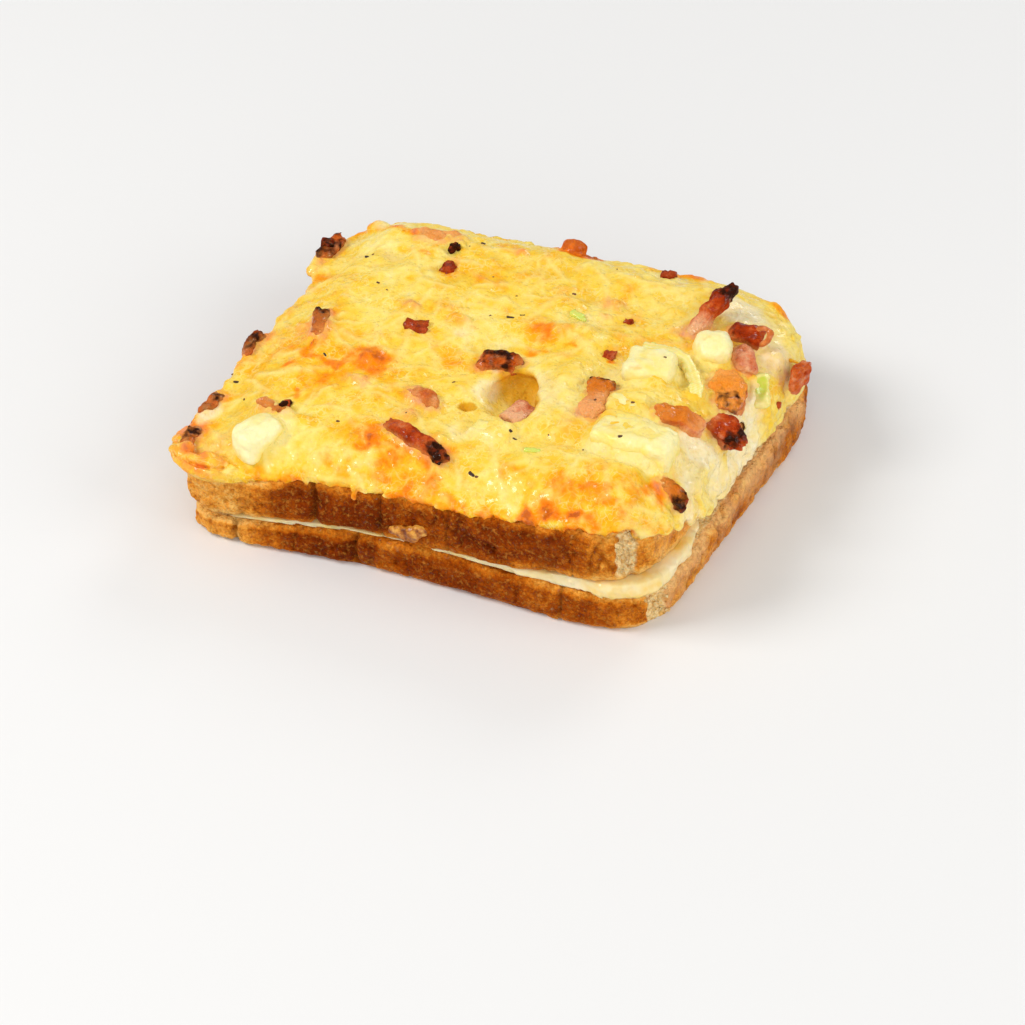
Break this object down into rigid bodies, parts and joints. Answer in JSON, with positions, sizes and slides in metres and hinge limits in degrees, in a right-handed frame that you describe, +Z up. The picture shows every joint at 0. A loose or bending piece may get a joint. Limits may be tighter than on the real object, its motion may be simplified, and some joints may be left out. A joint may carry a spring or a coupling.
{
  "type": "croque monsieur",
  "caption": "Baked two-slice croque monsieur with a thick browned cheese topping, potato dice, bacon sticks, leek and onion.",
  "frame": {"origin": "on the surface the sandwich stands on, under the middle of its outline", "axes": "+X to the right along the front crust, +Y from the front crust to the back, +Z up"},
  "size_m": [0.142, 0.1112, 0.0423],
  "materials": {
    "bread": "browned tin-loaf crust with a pale toasted crumb",
    "filling": "soft melted cream and cheese",
    "cheese": "oven-browned melted cheese, glossy where it is creamy",
    "bacon": "fried smoked bacon with charred ends",
    "potato": "boiled waxy potato, lightly oiled",
    "leek": "soft cooked leek",
    "onion": "soft translucent onion"
  },
  "bodies": {
    "root": {"bread_bottom": "bread", "filling": "filling", "bread_top": "bread", "cheese_topping": "cheese", "bacon_front": "bacon", "bacon_pocket_lip": "bacon", "bacon_standing": "bacon", "bacon_ridge": "bacon", "bacon_right_slope": "bacon", "bacon_heap": "bacon", "bacon_right_nugget": "bacon", "bacon_right_back": "bacon", "bacon_right_pink": "bacon", "bacon_flank_end": "bacon", "bacon_right_edge": "bacon", "bacon_left": "bacon", "bacon_middle": "bacon", "bacon_potato_left": "bacon", "bacon_back_left": "bacon", "bacon_back_edge": "bacon", "bacon_left_rim_back": "bacon", "bacon_left_rim_middle": "bacon", "bacon_left_rim_corner": "bacon", "bacon_in_pocket": "bacon", "potato_left_corner": "potato", "potato_back_right": "potato", "potato_with_onion": "potato", "potato_front_heap": "potato", "potato_behind_heap": "potato", "potato_below_pocket": "potato", "leek_piece": "leek", "onion_layer": "onion"}
  },
  "joints": []
}
